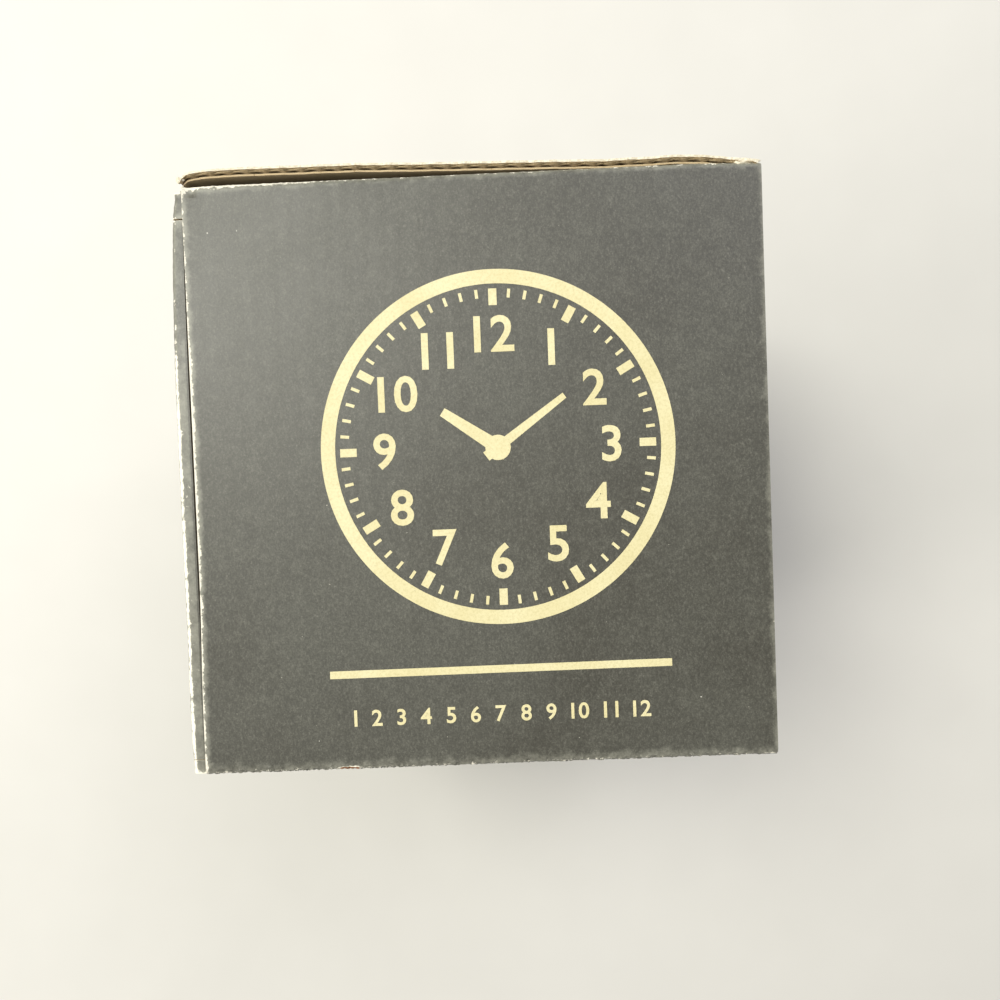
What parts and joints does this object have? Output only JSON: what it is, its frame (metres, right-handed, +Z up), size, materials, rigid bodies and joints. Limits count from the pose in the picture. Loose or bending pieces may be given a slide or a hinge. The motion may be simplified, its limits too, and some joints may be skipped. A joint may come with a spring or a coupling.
{
  "type": "boxed runaway alarm clock",
  "caption": "Square tuck-end carton of dark printed fluted board, closed, holding a two-wheeled alarm clock in board inserts with a working lid, flaps, wheels, gears and buttons.",
  "frame": {"origin": "centre of the carton's flat bottom, on the surface it stands on", "axes": "+Z up through the lid, +X to the right of the lid's print, +Y from the lid's fold towards its tuck edge"},
  "size_m": [0.108, 0.1106, 0.142],
  "materials": {
    "board_print": "fluted board printed dark grey outside, kraft inside",
    "board_kraft": "uncoated kraft fluted board",
    "leaflet_paper": "uncoated offset paper",
    "housing_plastic": "moulded ABS, fine spark texture",
    "wheel_plastic": "moulded ABS, smooth",
    "tyre_rubber": "moulded soft rubber",
    "black_plastic": "moulded ABS",
    "frame_plastic": "moulded polystyrene",
    "gear_plastic": "moulded acetal",
    "clear_plastic": "clear moulded acrylic",
    "display_glass": "liquid crystal cell",
    "circuit_board": "glass epoxy laminate",
    "steel": "drawn and zinc-plated steel",
    "bronze": "sintered bronze",
    "cell_jacket": "printed film over a steel can"
  },
  "bodies": {
    "carton": {"carton_front_panel": "board_print", "carton_back_panel": "board_print", "carton_left_panel": "board_print", "carton_right_panel": "board_print", "carton_glue_tab": "board_print", "bottom_outer_flap": "board_print", "bottom_inner_flap": "board_print", "bottom_side_flaps": "board_print", "lower_insert": "board_kraft", "upper_insert": "board_kraft", "instruction_leaflet": "leaflet_paper"},
    "lid": {"lid_panel": "board_print"},
    "tuck": {"lid_tuck_flap": "board_print"},
    "dust_left": {"dust_flap_left": "board_print"},
    "dust_right": {"dust_flap_right": "board_print"},
    "clock": {"housing_drum": "housing_plastic", "end_cap_left": "housing_plastic", "end_cap_right": "housing_plastic", "end_cap_screws": "steel", "second_gear_pins": "steel", "axle_bushes": "bronze", "gear_plate_left": "frame_plastic", "gear_plate_right": "frame_plastic", "motor_left": "steel", "motor_right": "steel", "battery_tray": "frame_plastic", "battery_cells": "cell_jacket", "battery_contacts": "steel", "display_bezel": "black_plastic", "display_lens": "clear_plastic", "display_glass": "display_glass", "display_backlight": "black_plastic", "circuit_board": "circuit_board", "sounder": "black_plastic", "rear_switch_board": "circuit_board", "switch_bodies": "black_plastic", "inner_chassis": "frame_plastic"},
    "door": {"battery_door": "housing_plastic"},
    "snooze": {"snooze_button": "wheel_plastic"},
    "time_key": {"time_button": "wheel_plastic"},
    "alarm_key": {"alarm_button": "wheel_plastic"},
    "hour_key": {"hour_button": "wheel_plastic"},
    "minute_key": {"minute_button": "wheel_plastic"},
    "alarm_slider": {"alarm_switch": "wheel_plastic"},
    "wheel_left": {"wheel_axle_left": "steel", "output_gear_left": "gear_plastic", "wheel_hub_left": "wheel_plastic", "wheel_tyre_left": "tyre_rubber", "hub_cap_left": "wheel_plastic"},
    "gear_one_left": {"first_gear_left": "gear_plastic"},
    "gear_two_left": {"second_gear_left": "gear_plastic"},
    "rotor_left": {"motor_rotor_left": "steel"},
    "wheel_right": {"wheel_axle_right": "steel", "output_gear_right": "gear_plastic", "wheel_hub_right": "wheel_plastic", "wheel_tyre_right": "tyre_rubber", "hub_cap_right": "wheel_plastic"},
    "gear_one_right": {"first_gear_right": "gear_plastic"},
    "gear_two_right": {"second_gear_right": "gear_plastic"},
    "rotor_right": {"motor_rotor_right": "steel"}
  },
  "joints": [
    {"name": "lid_open", "type": "hinge", "parent": "carton", "child": "lid", "pos_m": [0, -0.05525, 0.142], "axis": [1, 0, 0], "range_deg": [0, 200]},
    {"name": "tuck_fold", "type": "hinge", "parent": "lid", "child": "tuck", "pos_m": [0, 0.05225, 0.142], "axis": [1, 0, 0], "range_deg": [0, 70]},
    {"name": "dust_left_fold", "type": "hinge", "parent": "carton", "child": "dust_left", "pos_m": [-0.054, 0, 0.1405], "axis": [0, -1, 0], "range_deg": [0, 100]},
    {"name": "dust_right_fold", "type": "hinge", "parent": "carton", "child": "dust_right", "pos_m": [0.054, 0, 0.1405], "axis": [0, 1, 0], "range_deg": [0, 100]},
    {"name": "clock_lift", "type": "slide", "parent": "carton", "child": "clock", "axis": [0, 0, 1], "range_m": [0, 0.0012]},
    {"name": "battery_door_off", "type": "slide", "parent": "clock", "child": "door", "axis": [-1, 0, 0], "range_m": [0, 0.012]},
    {"name": "snooze_press", "type": "slide", "parent": "clock", "child": "snooze", "axis": [-1, 0, 0], "range_m": [0, 0.0012], "stiffness_N_per_m": 400, "springref_m": -0.001},
    {"name": "time_press", "type": "slide", "parent": "clock", "child": "time_key", "axis": [0, -1, 0], "range_m": [0, 0.0008], "stiffness_N_per_m": 400, "springref_m": -0.001},
    {"name": "alarm_press", "type": "slide", "parent": "clock", "child": "alarm_key", "axis": [0, -1, 0], "range_m": [0, 0.0008], "stiffness_N_per_m": 400, "springref_m": -0.001},
    {"name": "hour_press", "type": "slide", "parent": "clock", "child": "hour_key", "axis": [0, -1, 0], "range_m": [0, 0.0008], "stiffness_N_per_m": 400, "springref_m": -0.001},
    {"name": "minute_press", "type": "slide", "parent": "clock", "child": "minute_key", "axis": [0, -1, 0], "range_m": [0, 0.0008], "stiffness_N_per_m": 400, "springref_m": -0.001},
    {"name": "alarm_slide", "type": "slide", "parent": "clock", "child": "alarm_slider", "axis": [0, 0, 1], "range_m": [0, 0.004]},
    {"name": "wheel_left_spin", "type": "hinge", "parent": "clock", "child": "wheel_left", "pos_m": [0.00075, 0, 0.071], "axis": [0, 0, 1], "continuous": true},
    {"name": "first_gear_left_spin", "type": "hinge", "parent": "clock", "child": "gear_one_left", "pos_m": [0.00075, 0, 0.071], "axis": [0, 0, 1], "continuous": true},
    {"name": "second_gear_left_spin", "type": "hinge", "parent": "clock", "child": "gear_two_left", "pos_m": [-0.00809, 0.00884, 0.071], "axis": [0, 0, 1], "continuous": true},
    {"name": "rotor_left_spin", "type": "hinge", "parent": "clock", "child": "rotor_left", "pos_m": [0.00959, 0.00884, 0.071], "axis": [0, 0, 1], "continuous": true},
    {"name": "wheel_right_spin", "type": "hinge", "parent": "clock", "child": "wheel_right", "pos_m": [0.00075, 0, 0.071], "axis": [0, 0, 1], "continuous": true},
    {"name": "first_gear_right_spin", "type": "hinge", "parent": "clock", "child": "gear_one_right", "pos_m": [0.00075, 0, 0.071], "axis": [0, 0, 1], "continuous": true},
    {"name": "second_gear_right_spin", "type": "hinge", "parent": "clock", "child": "gear_two_right", "pos_m": [-0.00809, 0.00884, 0.071], "axis": [0, 0, 1], "continuous": true},
    {"name": "rotor_right_spin", "type": "hinge", "parent": "clock", "child": "rotor_right", "pos_m": [0.00959, 0.00884, 0.071], "axis": [0, 0, 1], "continuous": true}
  ],
  "couplings": [
    {"joint": "tuck_fold", "follows": "lid_open", "ratio": 0.35},
    {"joint": "dust_left_fold", "follows": "lid_open", "ratio": 0.5},
    {"joint": "dust_right_fold", "follows": "lid_open", "ratio": 0.5},
    {"joint": "second_gear_left_spin", "follows": "wheel_left_spin", "ratio": -4},
    {"joint": "first_gear_left_spin", "follows": "wheel_left_spin", "ratio": 16},
    {"joint": "rotor_left_spin", "follows": "wheel_left_spin", "ratio": -64},
    {"joint": "second_gear_right_spin", "follows": "wheel_right_spin", "ratio": -4},
    {"joint": "first_gear_right_spin", "follows": "wheel_right_spin", "ratio": 16},
    {"joint": "rotor_right_spin", "follows": "wheel_right_spin", "ratio": -64}
  ]
}
